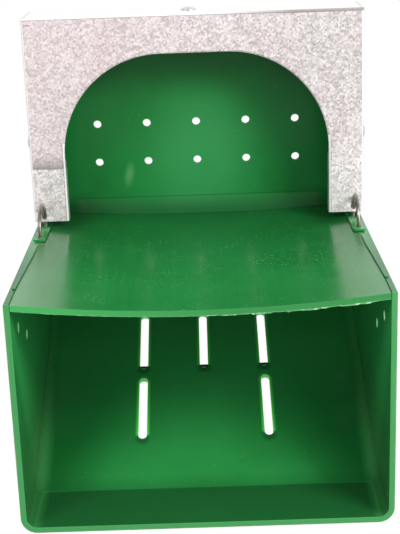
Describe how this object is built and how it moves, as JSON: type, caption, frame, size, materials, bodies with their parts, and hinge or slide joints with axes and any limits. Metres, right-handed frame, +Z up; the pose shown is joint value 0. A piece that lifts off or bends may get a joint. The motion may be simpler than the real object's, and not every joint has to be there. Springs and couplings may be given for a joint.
{
  "type": "hay feeder box",
  "caption": "Green open-fronted hay bin with a sliding lid, hung by wire rings from a hood with an arched galvanised steel front and a grid of wall fixing holes.",
  "frame": {"origin": "middle of the grid of fixing holes, on the rear face of the hood's back wall", "axes": "+X to the right seen from the front, +Y back to the wall, +Z up"},
  "size_m": [0.3078, 0.285, 0.3869],
  "materials": {
    "green_plastic": "smooth moulded polypropylene",
    "lid_plastic": "glossy sheet with sawn edges",
    "galvanised_sheet": "hot-dip zinc with fine spangle",
    "wire_steel": "zinc-plated wire",
    "rivet_aluminium": "plain",
    "mandrel_steel": "snapped, dull"
  },
  "bodies": {
    "manger": {"back_hood": "green_plastic", "front_frame": "galvanised_sheet", "rivet_top": "rivet_aluminium", "rivet_left": "rivet_aluminium", "rivet_right": "rivet_aluminium", "mandrel_top": "mandrel_steel", "mandrel_left": "mandrel_steel", "mandrel_right": "mandrel_steel"},
    "bin": {"hay_bin": "green_plastic"},
    "lid": {"bin_lid": "lid_plastic"},
    "left_ring": {"ring_left": "wire_steel"},
    "right_ring": {"ring_right": "wire_steel"}
  },
  "joints": [
    {"name": "bin_fold", "type": "hinge", "parent": "manger", "child": "bin", "pos_m": [0, -0.0833, -0.06], "axis": [-1, 0, 0], "range_deg": [0, 90]},
    {"name": "lid_slide", "type": "slide", "parent": "bin", "child": "lid", "axis": [0, -1, 0], "range_m": [0, 0.09]},
    {"name": "left_ring_turn", "type": "hinge", "parent": "manger", "child": "left_ring", "pos_m": [-0.1425, -0.0833, -0.06], "axis": [1, 0, 0], "continuous": true},
    {"name": "right_ring_turn", "type": "hinge", "parent": "manger", "child": "right_ring", "pos_m": [0.1425, -0.0833, -0.06], "axis": [1, 0, 0], "continuous": true}
  ]
}
